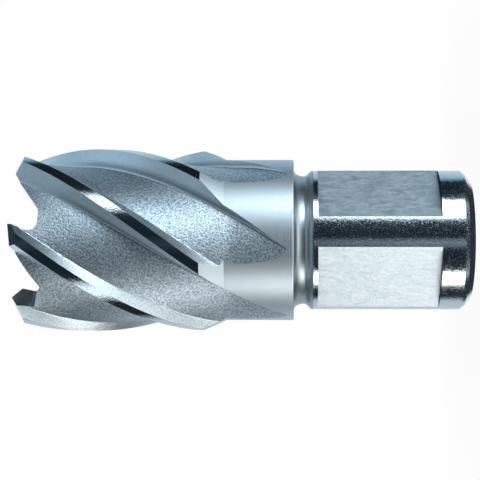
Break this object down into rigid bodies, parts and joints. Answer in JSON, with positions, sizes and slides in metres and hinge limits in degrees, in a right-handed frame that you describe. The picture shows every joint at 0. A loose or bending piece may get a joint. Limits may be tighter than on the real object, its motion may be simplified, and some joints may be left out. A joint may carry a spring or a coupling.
{
  "type": "annular cutter",
  "caption": "Hollow core cutter with toothed rim, right-hand helical flutes, ground margins and a plain round shank with two clamping flats, for cutting holes through metal plate.",
  "frame": {"origin": "centre of the shank end face, on the axis", "axes": "+Z along the axis from the shank end to the teeth, +X is the outward normal of one clamping flat and -Y that of the other"},
  "size_m": [0.025, 0.025, 0.0616],
  "materials": {
    "steel": "satin"
  },
  "bodies": {
    "root": {"cutter": "steel"}
  },
  "joints": []
}
